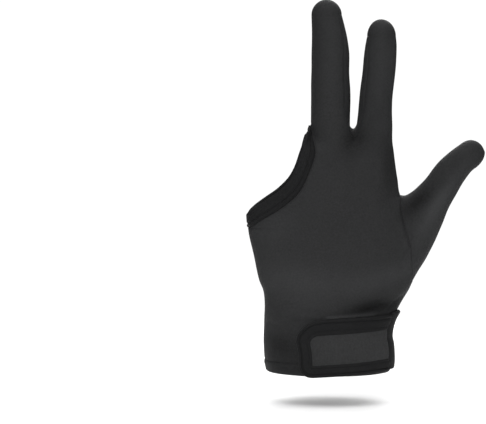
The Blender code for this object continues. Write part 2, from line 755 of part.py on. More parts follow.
def make_glove():
    """All pieces of the glove."""
    quilt = make_quilt()
    normals = quilt.normals()
    make_wall(quilt, "glove_body", normals, 0.0, CLOTH, BLACK_KNIT, KNIT_ROUGHNESS)
    make_wall(quilt, "thumb", normals, 0.0, CLOTH, BLACK_KNIT, KNIT_ROUGHNESS)
    make_wall(quilt, "finger_fourchette", normals, 0.0, CLOTH, BLACK_KNIT, KNIT_ROUGHNESS)
    make_wall(quilt, "finger_opening_binding", normals, BINDING_PROUD, BINDING_THICKNESS,
              BLACK_EDGE, EDGE_ROUGHNESS)
    make_wall(quilt, "wrist_hem", normals, HEM_PROUD, HEM_THICKNESS, BLACK_KNIT, KNIT_ROUGHNESS)
    make_strap()
    make_strap_binding()
    make_root_band()


for old in list(bpy.data.objects):
    bpy.data.objects.remove(old, do_unlink=True)
GLOVE = bpy.data.collections.new("styling_glove")
bpy.context.scene.collection.children.link(GLOVE)
make_glove()
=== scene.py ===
"""A heat resistant styling glove of black stretch knit, filled out as if worn.

The cloth is one quilt of patches. Each patch is a function of two parameters on a grid, worked
out as whole arrays, and the welded quilt gives every piece the same normals along its seams.
Folds, seam grooves and puckers push the quilt in or out before the pieces get their walls.
"""

import math

import bpy
import numpy as np
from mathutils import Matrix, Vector


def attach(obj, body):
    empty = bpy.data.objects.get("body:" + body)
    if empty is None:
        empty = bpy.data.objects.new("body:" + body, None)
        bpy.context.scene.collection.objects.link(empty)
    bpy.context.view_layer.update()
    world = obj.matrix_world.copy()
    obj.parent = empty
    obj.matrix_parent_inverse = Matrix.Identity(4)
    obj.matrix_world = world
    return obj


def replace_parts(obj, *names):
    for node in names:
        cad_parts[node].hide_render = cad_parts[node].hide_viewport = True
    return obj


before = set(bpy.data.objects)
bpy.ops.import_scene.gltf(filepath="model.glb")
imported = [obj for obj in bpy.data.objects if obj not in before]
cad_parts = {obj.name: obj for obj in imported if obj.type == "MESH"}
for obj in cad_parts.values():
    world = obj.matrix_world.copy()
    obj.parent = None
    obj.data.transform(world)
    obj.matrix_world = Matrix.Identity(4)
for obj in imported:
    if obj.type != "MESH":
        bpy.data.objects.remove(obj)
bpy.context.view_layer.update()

# Hand sizes, in metres and degrees, as on the solids
FORK_HEIGHT = 0.1468
PALM_WIDTH = 0.100
PALM_DEPTH = 0.030
FORK_OFFSET = 0.0145
WEB_DROP = 0.0050
WEB_DEPTH = 0.0170
WEB_FLARE = 0.0200
WEB_RADIUS = 0.0020
WEB_SHARPNESS = 3.0
BLEND_START = 0.90
MIDDLE_LENGTH = 0.0780
MIDDLE_WIDTH = 0.0237
MIDDLE_DEPTH = 0.0190
INDEX_LENGTH = 0.0662
INDEX_WIDTH = 0.0216
INDEX_DEPTH = 0.0180
FINGER_BEND = 0.0040
THUMB_LENGTH = 0.0721
THUMB_WIDTH = 0.0200
THUMB_DEPTH = 0.0190
THUMB_LEAN = 0.0080
THUMB_ANGLE = 48.8
OPENING_RISE = 0.0024
HEM_SAG = 0.0012
HEM_SAG_REACH = 0.0186

# Cloth sizes
CLOTH = 0.0012
SEAM_GAP = 0.00016
BINDING_THICKNESS = 0.0020
BINDING_PROUD = 0.0006
HEM_WIDTH = 0.0062
HEM_THICKNESS = 0.0018
HEM_PROUD = 0.0004

# Strap sizes
STRAP_LENGTH = 0.0555
STRAP_WIDTH = 0.0325
STRAP_OVERHANG = 0.0020
STRAP_TILT = 3.5
STRAP_TOP_RADIUS = 0.0130
STRAP_LOW_RADIUS = 0.0075
STRAP_THICKNESS = 0.0014
STRAP_EDGE_WIDTH = 0.0065
STRAP_EDGE_THICKNESS = 0.0021
STRAP_TOP_SHARE = 1.20
STRAP_LOW_SHARE = 0.88
STRAP_LIFT = 0.0007
ROOT_BAND_FRONT = 0.0105
ROOT_BAND_BACK = 0.0045
ROOT_BAND_HEIGHT = 0.0340
ROOT_BAND_START = 0.0015
ROOT_BAND_THICKNESS = 0.0018

# Mesh steps
CLOTH_STEP = 0.0012
FINE_STEP = 0.0010
LIP_STEP = 0.0005

# Shares at which the cloth's columns lie between the open edge and the fork, closer at the edge
MIDDLE_COLUMNS = np.linspace(0.0, 1.0, 46) ** 1.5
INDEX_COLUMNS = np.linspace(0.0, 1.0, 40) ** 1.4

# Trunk sections. Height is a share of FORK_HEIGHT, the little-finger and thumb edges are shares
# of PALM_WIDTH, the two depths are shares of PALM_DEPTH, and squareness is an exponent.
TRUNK = [
    # height, little edge, thumb edge, back, palm, squareness
    (0.000, -0.381, 0.375, 0.750, 0.750, 2.10),
    (0.037, -0.392, 0.380, 0.750, 0.750, 2.10),
    (0.100, -0.394, 0.376, 0.733, 0.733, 2.10),
    (0.141, -0.395, 0.366, 0.707, 0.717, 2.15),
    (0.204, -0.397, 0.385, 0.677, 0.717, 2.20),
    (0.266, -0.394, 0.433, 0.640, 0.733, 2.25),
    (0.328, -0.401, 0.485, 0.607, 0.750, 2.30),
    (0.366, -0.421, 0.509, 0.587, 0.750, 2.35),
    (0.445, -0.449, 0.573, 0.553, 0.717, 2.40),
    (0.523, -0.476, 0.598, 0.527, 0.650, 2.45),
    (0.598, -0.495, 0.561, 0.500, 0.583, 2.50),
    (0.652, -0.506, 0.506, 0.483, 0.540, 2.50),
    (0.723, -0.500, 0.432, 0.467, 0.500, 2.50),
    (0.794, -0.476, 0.415, 0.447, 0.463, 2.50),
    (0.860, -0.433, 0.401, 0.427, 0.433, 2.50),
    (0.910, -0.366, 0.393, 0.410, 0.413, 2.45),
    (0.951, -0.262, 0.387, 0.397, 0.400, 2.35),
    (1.000, -0.110, 0.382, 0.383, 0.383, 2.20),
]

# Finger sections. Along is a share of the finger's length above the web, the outer and inner
# edges are shares of its width, measured from the middle of the web, half depth is a share of
# its depth, and seam is the seam's angle in degrees from the inner side.
MIDDLE = [
    # along, outer edge, inner edge, half depth, seam
    (0.000, 1.075, 0.075, 0.605, 45.0),
    (0.143, 1.075, 0.075, 0.558, 45.0),
    (0.325, 1.075, 0.082, 0.521, 45.0),
    (0.556, 1.072, 0.101, 0.500, 45.0),
    (0.677, 1.072, 0.144, 0.484, 40.0),
    (0.798, 1.070, 0.232, 0.458, 30.0),
    (0.879, 1.067, 0.291, 0.426, 20.0),
]
INDEX = [
    # along, outer edge, inner edge, half depth, seam
    (0.000, 1.082, 0.082, 0.639, 45.0),
    (0.169, 1.082, 0.136, 0.578, 45.0),
    (0.411, 1.138, 0.215, 0.539, 45.0),
    (0.582, 1.192, 0.268, 0.511, 42.0),
    (0.753, 1.226, 0.328, 0.489, 32.0),
    (0.841, 1.203, 0.376, 0.467, 22.0),
]
FINGER_SQUARENESS = 2.1

# Thumb seam on the trunk, as shares of FORK_HEIGHT and PALM_WIDTH
THUMB_SEAM = [
    # height, back edge, palm edge
    (0.366, 0.509, 0.509),
    (0.388, 0.507, 0.512),
    (0.449, 0.504, 0.520),
    (0.496, 0.497, 0.522),
    (0.540, 0.478, 0.512),
    (0.607, 0.450, 0.490),
    (0.656, 0.434, 0.470),
    (0.695, 0.431, 0.452),
    (0.723, 0.432, 0.432),
]

# Thumb sections. Both ends of each section are given along the thumb, as shares of THUMB_LENGTH,
# and across it, as shares of THUMB_WIDTH. The depths are shares of THUMB_DEPTH and the shift
# towards the palm a share of THUMB_LEAN.
THUMB = [
    # upper along, upper across, lower along, lower across, back, palm, lean
    (0.262, 0.893, -0.135, -0.926, 0.640, 0.700, 0.10),
    (0.318, 0.806, -0.013, -0.865, 0.640, 0.690, 0.20),
    (0.398, 0.755, 0.126, -0.751, 0.621, 0.647, 0.30),
    (0.487, 0.731, 0.274, -0.569, 0.589, 0.600, 0.40),
    (0.592, 0.758, 0.414, -0.410, 0.547, 0.558, 0.50),
    (0.696, 0.763, 0.557, -0.282, 0.516, 0.521, 0.60),
    (0.792, 0.720, 0.688, -0.195, 0.489, 0.489, 0.70),
    (0.878, 0.648, 0.791, -0.172, 0.458, 0.458, 0.80),
    (0.944, 0.573, 0.853, -0.220, 0.405, 0.405, 0.87),
    (0.984, 0.456, 0.903, -0.225, 0.326, 0.326, 0.93),
    (1.005, 0.278, 0.949, -0.184, 0.205, 0.205, 0.97),
    (1.005, 0.105, 0.984, -0.096, 0.095, 0.095, 1.00),
]
THUMB_SQUARENESS = 2.1

# Opening for the ring and little finger: its seam on the trunk and the binding's free rim, as
# shares of FORK_HEIGHT and PALM_WIDTH
OPENING = [
    # seam height, seam edge, rim height, rim edge
    (0.585, -0.494, 0.642, -0.500),
    (0.625, -0.412, 0.675, -0.445),
    (0.655, -0.336, 0.706, -0.381),
    (0.692, -0.260, 0.737, -0.314),
    (0.725, -0.205, 0.767, -0.265),
    (0.759, -0.167, 0.794, -0.232),
    (0.814, -0.129, 0.837, -0.199),
    (0.888, -0.091, 0.898, -0.169),
    (0.944, -0.085, 0.943, -0.146),
    (0.975, -0.092, 0.968, -0.134),
    (1.000, -0.110, 1.004, -0.123),
]

# Folds and hollows. Side is -1 for the back and 1 for the palm, the centre's edge and height are
# shares of PALM_WIDTH and FORK_HEIGHT, reach and spread are half-lengths along and across the
# fold as shares of PALM_WIDTH, turn is its slope in degrees and rise is a share of CLOTH.
FOLDS = [
    # side, edge, height, reach, spread, turn, rise
    (-1, -0.24, 0.225, 0.20, 0.050, -7.0, 0.9),
    (-1, -0.33, 0.150, 0.14, 0.060, -12.0, -1.0),
    (-1, 0.33, 0.275, 0.15, 0.050, 17.0, -1.6),
    (-1, 0.05, 0.400, 0.36, 0.090, -4.0, 1.0),
    (1, -0.26, 0.535, 0.14, 0.060, 12.0, 1.1),
    (1, -0.42, 0.445, 0.10, 0.060, 20.0, -0.9),
    (1, -0.40, 0.320, 0.10, 0.060, -14.0, -0.9),
    (1, 0.36, 0.250, 0.16, 0.060, 24.0, -1.2),
    (-1, 0.27, 0.262, 0.17, 0.034, 11.0, -1.5),
    (-1, 0.40, 0.270, 0.09, 0.014, 44.0, -1.3),
    (-1, 0.18, 0.345, 0.26, 0.060, 7.0, 0.9),
    (-1, -0.10, 0.270, 0.20, 0.022, -9.0, 0.5),
    (-1, -0.28, 0.255, 0.12, 0.016, -16.0, 0.35),
    (-1, -0.33, 0.195, 0.09, 0.013, -8.0, -0.5),
    (-1, -0.30, 0.120, 0.08, 0.012, 14.0, 0.35),
    (-1, 0.50, 0.560, 0.13, 0.016, 63.0, 0.45),
    (-1, 0.57, 0.600, 0.12, 0.014, 56.0, 0.40),
    (-1, 0.47, 0.500, 0.09, 0.013, 72.0, -0.35),
    (1, 0.48, 0.560, 0.13, 0.018, 60.0, 0.45),
    (1, 0.56, 0.610, 0.12, 0.016, 54.0, -0.35),
    (1, 0.20, 0.700, 0.16, 0.020, -52.0, -0.45),
    (1, -0.05, 0.640, 0.20, 0.026, 14.0, 0.40),
    (1, -0.25, 0.300, 0.16, 0.022, 9.0, 0.40),
    (1, 0.10, 0.180, 0.22, 0.022, -6.0, -0.40),
]

# Paler and darker patches of the cloth's colour. Some stand for the knit looking paler where it is stretched and
# darker where
# it is slack. The rest are painted light: painted highlights where the light falls, and painted shade in creases,
# hollows, along the hem and along the fingers' sides. The columns are those of the folds, and the last is the
# change of tone.
STRETCH_AND_PAINTED_LIGHT = [
    # side, edge, height, reach, spread, turn, tone
    (-1, -0.20, 0.370, 0.34, 0.110, -3.0, 0.55),
    (-1, 0.38, 0.400, 0.22, 0.070, 16.0, 0.55),
    (-1, -0.34, 0.590, 0.16, 0.100, 30.0, 0.25),
    (-1, 0.26, 0.262, 0.20, 0.055, 11.0, -0.95),
    (-1, -0.29, 0.105, 0.16, 0.090, -4.0, -0.75),
    (-1, 0.00, 0.015, 0.60, 0.050, 0.0, -0.55),
    (-1, 0.37, 0.860, 0.20, 0.050, 86.0, -0.65),
    (-1, 0.15, 0.960, 0.11, 0.075, 60.0, -0.70),
    (-1, 0.60, 0.600, 0.20, 0.060, 60.0, 0.60),
    (-1, 0.68, 0.700, 0.14, 0.045, 54.0, 1.15),
    (-1, 0.82, 0.830, 0.14, 0.045, 52.0, 0.45),
    (-1, 0.53, 0.705, 0.13, 0.050, 45.0, -1.00),
    (-1, 0.02, 1.300, 0.40, 0.055, 90.0, 0.25),
    (-1, -0.09, 1.250, 0.40, 0.028, 90.0, -0.25),
    (-1, 0.13, 1.200, 0.34, 0.028, 90.0, -0.30),
    (-1, 0.38, 1.200, 0.34, 0.032, 87.0, 0.55),
    (-1, 0.32, 1.250, 0.34, 0.050, 90.0, 0.30),
    (1, -0.22, 0.600, 0.20, 0.070, 10.0, 0.55),
    (1, -0.42, 0.330, 0.20, 0.060, 82.0, -0.50),
    (1, 0.60, 0.600, 0.24, 0.060, 58.0, 0.60),
    (1, 0.10, 0.400, 0.30, 0.140, 0.0, 0.30),
    (1, 0.16, 0.960, 0.10, 0.060, 60.0, -0.50),
]

# The lip of cloth above the strap's long edge: its two ends as shares of PALM_WIDTH, and its
# height above the strap, rise and half width
LIP_START = -0.03
LIP_END = 0.31
LIP_ABOVE = 0.0014
LIP_RISE = 0.0020
LIP_SPREAD = 0.0009
LIP_ROWS_START = 0.19
LIP_ROWS_END = 0.27

MIDDLE_FINGER = (MIDDLE, MIDDLE_LENGTH, MIDDLE_WIDTH, MIDDLE_DEPTH, -1.0)
INDEX_FINGER = (INDEX, INDEX_LENGTH, INDEX_WIDTH, INDEX_DEPTH, 1.0)


def spline(table, column, share):
    """A table's column at shares of its first column: cubic pieces with centred slopes."""
    rows = np.asarray(table, dtype=float)
    stations, values = rows[:, 0], rows[:, column]
    before = np.maximum(np.arange(len(rows)) - 1, 0)
    after = np.minimum(np.arange(len(rows)) + 1, len(rows) - 1)
    slopes = (values[after] - values[before]) / (stations[after] - stations[before])
    share = np.clip(share, stations[0], stations[-1])
    cell = np.clip(np.searchsorted(stations, share) - 1, 0, len(rows) - 2)
    width = stations[cell + 1] - stations[cell]
    part = (share - stations[cell]) / width
    rest = 1.0 - part
    return (rest * rest * (1.0 + 2.0 * part) * values[cell]
            + part * part * (3.0 - 2.0 * part) * values[cell + 1]
            + part * rest * rest * width * slopes[cell]
            - part * part * rest * width * slopes[cell + 1])


def ease(share):
    """Shares eased from 0 to 1 with level ends."""
    share = np.clip(share, 0.0, 1.0)
    return share * share * (3.0 - 2.0 * share)


def stack(*parts):
    """X, Y and Z arrays of one shape joined into points."""
    return np.stack(np.broadcast_arrays(*parts), axis=-1)


def unit(vectors):
    """Vectors scaled to length one."""
    return vectors / np.maximum(np.linalg.norm(vectors, axis=-1, keepdims=True), 1e-12)


def oval(cosine, squareness):
    """Height of a unit superellipse over a share of its half width."""
    return np.maximum(1.0 - np.abs(cosine) ** squareness, 0.0) ** (1.0 / squareness)


def trunk_shape(height):
    """Centre, half width, back depth, palm depth and squareness of the trunk at heights."""
    little = spline(TRUNK, 1, height) * PALM_WIDTH
    thumb = spline(TRUNK, 2, height) * PALM_WIDTH
    return ((little + thumb) / 2.0, (thumb - little) / 2.0, spline(TRUNK, 3, height) * PALM_DEPTH,
            spline(TRUNK, 4, height) * PALM_DEPTH, spline(TRUNK, 5, height))


def trunk_point(height, cosine, side):
    """The trunk's section: a superellipse with its own depth on the back and on the palm."""
    centre, half, back, palm, squareness = trunk_shape(height)
    cosine = np.clip(cosine, -1.0, 1.0)
    arch = oval(cosine, squareness)
    sag = HEM_SAG * arch * (1.0 - ease(height * FORK_HEIGHT / HEM_SAG_REACH))
    return stack(centre + half * cosine, side * np.where(side > 0, palm, back) * arch,
                 height * FORK_HEIGHT - sag)


def edge_angle(height, edge):
    """The section angle at which the trunk reaches an X position."""
    centre, half = trunk_shape(height)[:2]
    return np.arccos(np.clip((edge - centre) / half, -1.0, 1.0))


def finger_point(finger, rise, angle, side):
    """A finger's section: a superellipse between its outer and inner edge."""
    table, length, width, depth, direction = finger
    along = rise / length
    outer = FORK_OFFSET + direction * spline(table, 1, along) * width
    inner = FORK_OFFSET + direction * spline(table, 2, along) * width
    cosine = np.cos(np.radians(angle))
    half = np.abs(outer - inner) / 2.0
    arch = oval(cosine, FINGER_SQUARENESS) * spline(table, 3, along) * depth
    return stack((outer + inner) / 2.0 - direction * half * cosine,
                 side * arch + FINGER_BEND * along * along, FORK_HEIGHT + rise)


def web_point(share, rise):
    """The web's crest from the back seam (share 0) to the palm seam (share 1): a low arch."""
    reach = -np.cos(math.pi * share)
    return stack(FORK_OFFSET, reach * WEB_DEPTH / 2.0, FORK_HEIGHT + rise - WEB_DROP * reach * reach)


def finger_body(finger, rise, share, side):
    """A finger from its outer edge (share 0) to its side seam (share 1), drawn to the web."""
    seam = spline(finger[0], 4, rise / finger[1])
    point = finger_point(finger, rise, 180.0 - (180.0 - seam) * share, side)
    rest = np.maximum(1.0 - rise / WEB_FLARE, 0.0) ** WEB_SHARPNESS
    pull = web_point(0.0 if side < 0 else 1.0, rise) - finger_point(finger, rise, seam, side)
    point = point + pull * (rest * share ** 3)[..., None]
    if finger is MIDDLE_FINGER:
        point[..., 2] += OPENING_RISE * rest * (1.0 - share) ** 2
    return point


def fourchette(finger, rise, share):
    """The strip on a finger's inner side, from the back seam (share 0) to the palm seam."""
    seam = spline(finger[0], 4, rise / finger[1])
    turn = seam * (1.0 - 2.0 * share)
    point = finger_point(finger, rise, np.abs(turn), np.where(turn > 0, -1.0, 1.0))
    reach = WEB_RADIUS + (WEB_FLARE - WEB_RADIUS) * (2.0 * share - 1.0) ** 2
    rest = np.maximum(1.0 - rise / reach, 0.0) ** WEB_SHARPNESS
    return point + (web_point(share, rise) - point) * rest[..., None]


def trunk_sheet(height, column, side):
    """One side of the trunk. Column runs from the little-finger edge (0) over the fork line (1)
    to the thumb edge (2), and near the fork the sheet eases into the two fingers."""
    start = np.where(height > OPENING[0][0], edge_angle(height, spline(OPENING, 1, height) * PALM_WIDTH),
                     math.pi)
    seam = edge_angle(height, spline(THUMB_SEAM, 1 if side < 0 else 2, height) * PALM_WIDTH)
    in_zone = (height > THUMB_SEAM[0][0]) & (height < THUMB_SEAM[-1][0])
    end = np.where(in_zone, seam, 0.0)
    fork = edge_angle(height, FORK_OFFSET * height)
    angle = np.where(column < 1.0, start + (fork - start) * column, fork + (end - fork) * (column - 1.0))
    point = trunk_point(height, np.cos(angle), side)
    zero = np.zeros_like(column)
    top = np.where((column < 1.0)[..., None],
                   finger_body(MIDDLE_FINGER, zero, np.minimum(column, 1.0), side),
                   finger_body(INDEX_FINGER, zero, np.clip(2.0 - column, 0.0, 1.0), side))
    top = top + stack(0.0, 0.0, (height - 1.0) * FORK_HEIGHT)
    share = ease((height - BLEND_START) / (1.0 - BLEND_START))
    return point + (top - point) * share[..., None]


def steps(start, end, step):
    """Values from start to end, about one step apart."""
    return np.linspace(start, end, max(2, round(abs(end - start) / step)) + 1)


def heights(start, end):
    """Heights as shares of FORK_HEIGHT from start to end, with rows on every seam's ends."""
    marks = [start, LIP_ROWS_START, LIP_ROWS_END, THUMB_SEAM[0][0], OPENING[0][0], THUMB_SEAM[-1][0], end]
    marks = [mark for mark in marks if start <= mark <= end]
    runs = [steps(low, high, (LIP_STEP if low == LIP_ROWS_START else CLOTH_STEP) / FORK_HEIGHT)[:-1]
            for low, high in zip(marks, marks[1:])]
    return np.concatenate(runs + [[end]])


class Quilt:
    """Patches of points on grids, welded into one surface that several pieces share."""

    def __init__(self):
        self.points = []
        self.walls = []
        self.corners = {}
        self.maps = {}
        self.count = 0

    def patch(self, piece, points, proud=0.0, inner=CLOTH):
        """Add a grid of points to a piece. Its outer skin lies proud of the grid, its inner skin
        behind it. Seen from outside, columns run right and rows run up."""
        rows, columns = points.shape[:2]
        along = np.linalg.norm(np.diff(points, axis=1, prepend=points[:, :1]), axis=2).cumsum(axis=1)
        along -= along[:, columns // 2][:, None]
        up = np.linalg.norm(np.diff(points, axis=0, prepend=points[:1]), axis=2).cumsum(axis=0)
        flat = np.stack([along, np.broadcast_to(up[:, columns // 2][:, None], along.shape)], axis=-1)
        number = np.arange(rows * columns).reshape(rows, columns)
        low_left, low_right = number[:-1, :-1].ravel(), number[:-1, 1:].ravel()
        top_left, top_right = number[1:, :-1].ravel(), number[1:, 1:].ravel()
        faces = np.concatenate([np.stack([low_left, low_right, top_right], axis=1),
                                np.stack([low_left, top_right, top_left], axis=1)])
        self.corners.setdefault(piece, []).append(faces + self.count)
        self.maps.setdefault(piece, []).append(flat.reshape(-1, 2)[faces])
        self.points.append(points.reshape(-1, 3))
        shape = np.empty((rows, columns, 2))
        shape[..., 0] = proud
        shape[..., 1] = inner
        self.walls.append(shape.reshape(-1, 2))
        self.count += rows * columns

    def weld(self):
        """Join equal points, drop faces that closed up and work out the normals."""
        points = np.concatenate(self.points)
        keys = np.round(points / 2e-6).astype(np.int64)
        _, first, number = np.unique(keys, axis=0, return_index=True, return_inverse=True)
        number = number.ravel()
        self.points = points[first]
        self.walls = np.concatenate(self.walls)[first]
        for piece, parts in self.corners.items():
            faces = number[np.concatenate(parts)]
            maps = np.concatenate(self.maps[piece])
            whole = ((faces[:, 0] != faces[:, 1]) & (faces[:, 1] != faces[:, 2])
                     & (faces[:, 2] != faces[:, 0]))
            self.corners[piece], self.maps[piece] = faces[whole], maps[whole]
        self.normals = self.find_normals()
        self.stretch_and_painted_light = np.zeros(len(self.points))

    def find_normals(self):
        """Area-weighted normals: each triangle's cross product summed at its corners."""
        normals = np.zeros_like(self.points)
        for faces in self.corners.values():
            one, two, three = (self.points[faces[:, corner]] for corner in range(3))
            spread = np.cross(two - one, three - one)
            for corner in range(3):
                np.add.at(normals, faces[:, corner], spread)
        return unit(normals)

    def push(self, distance):
        """Move every point along its normal."""
        self.points = self.points + self.normals * distance[:, None]
        self.normals = self.find_normals()


def edge_pairs(faces):
    """Directed edges that only one triangle has."""
    pairs = np.concatenate([faces[:, [0, 1]], faces[:, [1, 2]], faces[:, [2, 0]]])
    size = faces.max() + 1
    ahead = pairs[:, 0].astype(np.int64) * size + pairs[:, 1]
    behind = pairs[:, 1].astype(np.int64) * size + pairs[:, 0]
    return pairs[~np.isin(ahead, behind)]


def mean_centres(points, faces, size):
    """For each point, the mean centre of the triangles that meet there."""
    total, count = np.zeros((size, 3)), np.zeros(size)
    centres = points[faces].mean(axis=1)
    for corner in range(3):
        np.add.at(total, faces[:, corner], centres)
        np.add.at(count, faces[:, corner], 1.0)
    return total / np.maximum(count, 1.0)[:, None], count > 0


def piece_wall(quilt, piece, name, material, slot, round_edges=2):
    """A closed wall round a piece's faces: outer skin, inner skin behind it, and between them
    seam edges drawn back by half the seam gap and free edges carried round in a half circle."""
    faces, maps = quilt.corners[piece], quilt.maps[piece]
    size = len(quilt.points)
    pairs = edge_pairs(faces)
    others = [rest for key, rest in quilt.corners.items() if key != piece]
    own, _ = mean_centres(quilt.points, faces, size)
    beyond, shared = mean_centres(quilt.points, np.concatenate(others), size) if others \
        else (own, np.zeros(size, dtype=bool))
    run = np.zeros((size, 3))
    for end in range(2):
        np.add.at(run, pairs[:, end], quilt.points[pairs[:, 1]] - quilt.points[pairs[:, 0]])
    on_edge = np.zeros(size, dtype=bool)
    on_edge[pairs.ravel()] = True
    inward = np.where(shared[:, None], own - beyond, own - quilt.points)
    for axis in (quilt.normals, unit(run)):
        inward = inward - axis * np.sum(inward * axis, axis=1, keepdims=True)
    inward = unit(inward) * on_edge[:, None]
    used = np.unique(faces)
    place = np.full(size, -1)
    place[used] = np.arange(len(used))
    base = quilt.points[used] + inward[used] * (shared[used, None] * SEAM_GAP / 2.0)
    proud, inner = quilt.walls[used, :1], quilt.walls[used, 1:]
    normals = quilt.normals[used]
    points = [base + normals * proud, base - normals * inner]
    corners = [place[faces], place[faces][:, ::-1] + len(used)]
    flats = [maps, maps[:, ::-1]]
    rim = np.unique(pairs)
    levels = [place[rim]]
    centre = base[place[rim]] + normals[place[rim]] * ((proud - inner)[place[rim]] / 2.0)
    radius = ((proud + inner)[place[rim]] / 2.0)
    free = ~shared[rim, None]
    count = 2 * len(used)
    for turn in np.linspace(0.0, math.pi, round_edges + 2)[1:-1]:
        bulge = -inward[rim] * np.sin(turn) * np.where(free, radius, 0.0)
        points.append(centre + normals[place[rim]] * radius * np.cos(turn) + bulge)
        levels.append(np.arange(len(rim)) + count)
        count += len(rim)
    levels.append(place[rim] + len(used))
    order = np.full(size, -1)
    order[rim] = np.arange(len(rim))
    start, end = order[pairs[:, 0]], order[pairs[:, 1]]
    low, high = np.minimum(start, end), np.maximum(start, end)
    forward = (start < end)[:, None]
    for upper, lower in zip(levels, levels[1:]):
        one = np.stack([upper[high], upper[low], lower[high]], axis=1)
        two = np.stack([upper[low], lower[low], lower[high]], axis=1)
        for strip in (one, two):
            corners.append(np.where(forward, strip, strip[:, ::-1]))
            flats.append(np.zeros((len(strip), 3, 2)))
    piece = mesh_piece(name, np.concatenate(points), np.concatenate(corners), np.concatenate(flats),
                       material, slot)
    # The "stretch" attribute holds the stretch tones together with painted highlights and painted shade.
    stretch_and_painted_light = np.concatenate([quilt.stretch_and_painted_light[used], quilt.stretch_and_painted_light[used]] + [quilt.stretch_and_painted_light[rim]] * round_edges)
    layer = piece.data.attributes.new("stretch", "FLOAT", "POINT")
    layer.data.foreach_set("value", stretch_and_painted_light.astype(np.float32))
    return piece


def mesh_piece(name, points, faces, flat, material, slot):
    """A smooth mesh object from arrays of points, triangles and their cloth map."""
    mesh = bpy.data.meshes.new(name)
    mesh.vertices.add(len(points))
    mesh.vertices.foreach_set("co", np.ascontiguousarray(points, dtype=np.float32).ravel())
    mesh.loops.add(faces.size)
    mesh.loops.foreach_set("vertex_index", np.ascontiguousarray(faces, dtype=np.int32).ravel())
    mesh.polygons.add(len(faces))
    mesh.polygons.foreach_set("loop_start", np.arange(0, faces.size, 3, dtype=np.int32))
    mesh.uv_layers.new(name="cloth")
    mesh.uv_layers["cloth"].data.foreach_set("uv", np.ascontiguousarray(flat, dtype=np.float32).ravel())
    mesh.update(calc_edges=True)
    mesh.shade_smooth()
    mesh.set_sharp_from_angle(angle=math.radians(62.0))
    mesh.materials.append(material)
    piece = bpy.data.objects.new(name, mesh)
    bpy.context.scene.collection.objects.link(piece)
    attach(piece, "root")
    return piece


def nearest(points, curve):
    """Distance of every point to a curve, and the nearest curve point's number."""
    reach, which = [], []
    for block in np.array_split(points, max(1, len(points) // 2000)):
        gap = np.linalg.norm(block[:, None, :] - curve[None], axis=2)
        reach.append(gap.min(axis=1))
        which.append(gap.argmin(axis=1))
    return np.concatenate(reach), np.concatenate(which)


def seam_curves():
    """The seams of the quilt as dense curves: thumb, opening, both fourchette edges and hem."""
    fine = 0.0006
    low, top = THUMB_SEAM[0][0], THUMB_SEAM[-1][0]
    level = steps(low + 1e-6, top - 1e-6, fine / FORK_HEIGHT)
    edge = np.full_like(level, 2.0)
    thumb = np.concatenate([trunk_sheet(level, edge, -1.0), trunk_sheet(level, edge, 1.0)[::-1]])
    level = steps(OPENING[0][0] + 1e-6, 1.0, fine / FORK_HEIGHT)
    edge = np.zeros_like(level)
    opening = np.concatenate([trunk_sheet(level, edge, -1.0), trunk_sheet(level, edge, 1.0)[::-1]])
    sides = []
    for finger in (MIDDLE_FINGER, INDEX_FINGER):
        rise = steps(0.0, finger[0][-1][0] * finger[1], fine)
        for side in (-1.0, 1.0):
            sides.append(finger_body(finger, rise, np.ones_like(rise), side))
    turn = np.linspace(0.0, 2.0 * math.pi, 260)
    hem = trunk_point(np.full_like(turn, HEM_WIDTH / FORK_HEIGHT), np.cos(turn),
                      np.where(np.sin(turn) > 0, 1.0, -1.0))
    return {"thumb": thumb, "opening": opening, "fourchette": np.concatenate(sides), "hem": hem}


def lay_trunk(quilt):
    """Both sides of the trunk, with the hem's strip at its foot."""
    columns = np.concatenate([MIDDLE_COLUMNS[:-1], 2.0 - INDEX_COLUMNS[::-1]])
    hem_top = HEM_WIDTH / FORK_HEIGHT
    for side in (-1.0, 1.0):
        order = 1 if side < 0 else -1
        for piece, rows in (("hem", steps(0.0, hem_top, FINE_STEP / FORK_HEIGHT)),
                            ("body", heights(hem_top, 1.0))):
            height, column = np.meshgrid(rows, columns[::order], indexing="ij")
            sheet = trunk_sheet(height, column, side)
            if piece == "hem":
                part = 1.0 - height / hem_top
                shape = ease(part * 4.0)
                proud = HEM_PROUD * shape
                inner = CLOTH + (HEM_THICKNESS - HEM_PROUD - CLOTH) * shape
                quilt.patch("hem", sheet, proud, inner)
            else:
                quilt.patch("body", sheet)


def lay_finger(quilt, finger, columns, across):
    """A finger's two body sheets, its inner strip and its domed tip."""
    table, length, direction = finger[0], finger[1], finger[4]
    straight = table[-1][0] * length
    rise = straight * np.linspace(0.0, 1.0, round(straight / CLOTH_STEP) + 1) ** 1.25
    turn = np.linspace(0.0, math.pi / 2.0, 11)[:, None, None]
    top = np.array([straight])
    middle = (finger_point(finger, top, 180.0, -1.0) + finger_point(finger, top, 0.0, -1.0)) / 2.0
    lift = np.array([0.0, 0.0, length - straight])
    order = 1 if direction < 0 else -1
    for side in (-1.0, 1.0):
        height, share = np.meshgrid(rise, columns, indexing="ij")
        sheet = finger_body(finger, height, share, side)
        turned = side * direction < 0
        sheet = sheet if not turned else sheet[:, ::-1]
        quilt.patch("body", sheet)
        dome = middle + (sheet[-1:] - middle) * np.cos(turn) + lift * np.sin(turn)
        quilt.patch("body", dome)
    height, share = np.meshgrid(rise, across, indexing="ij")
    strip = fourchette(finger, height, share)[:, ::order]
    quilt.patch("fourchette", strip)
    dome = middle + (strip[-1:] - middle) * np.cos(turn) + lift * np.sin(turn)
    quilt.patch("body", dome)


